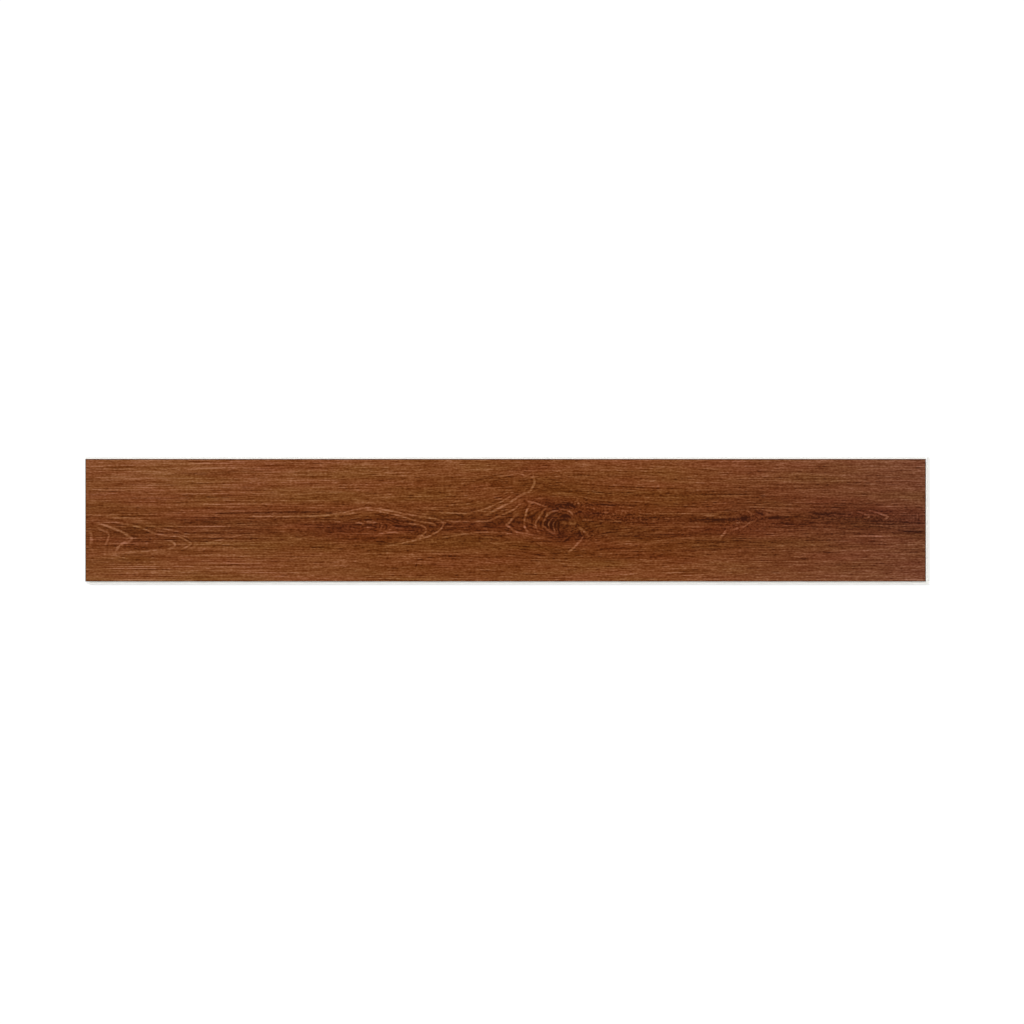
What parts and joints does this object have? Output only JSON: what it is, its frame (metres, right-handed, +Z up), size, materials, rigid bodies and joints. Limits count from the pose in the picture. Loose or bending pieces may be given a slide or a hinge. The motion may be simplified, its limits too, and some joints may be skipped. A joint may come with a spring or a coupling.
{
  "type": "rigid core vinyl plank",
  "caption": "Flat rigid core vinyl flooring plank with a printed oak decor face, painted micro bevels and click edges on all four sides.",
  "frame": {"origin": "middle of the decor face's outline, on the underside: the point of the floor under the middle of the face", "axes": "+X along the plank's length towards the end with the upward hook, +Y across its width towards the tongue, +Z up out of the decor face"},
  "size_m": [1.2247, 0.1846, 0.005],
  "materials": {
    "vinyl": "satin"
  },
  "bodies": {
    "root": {"plank": "vinyl"}
  },
  "joints": []
}
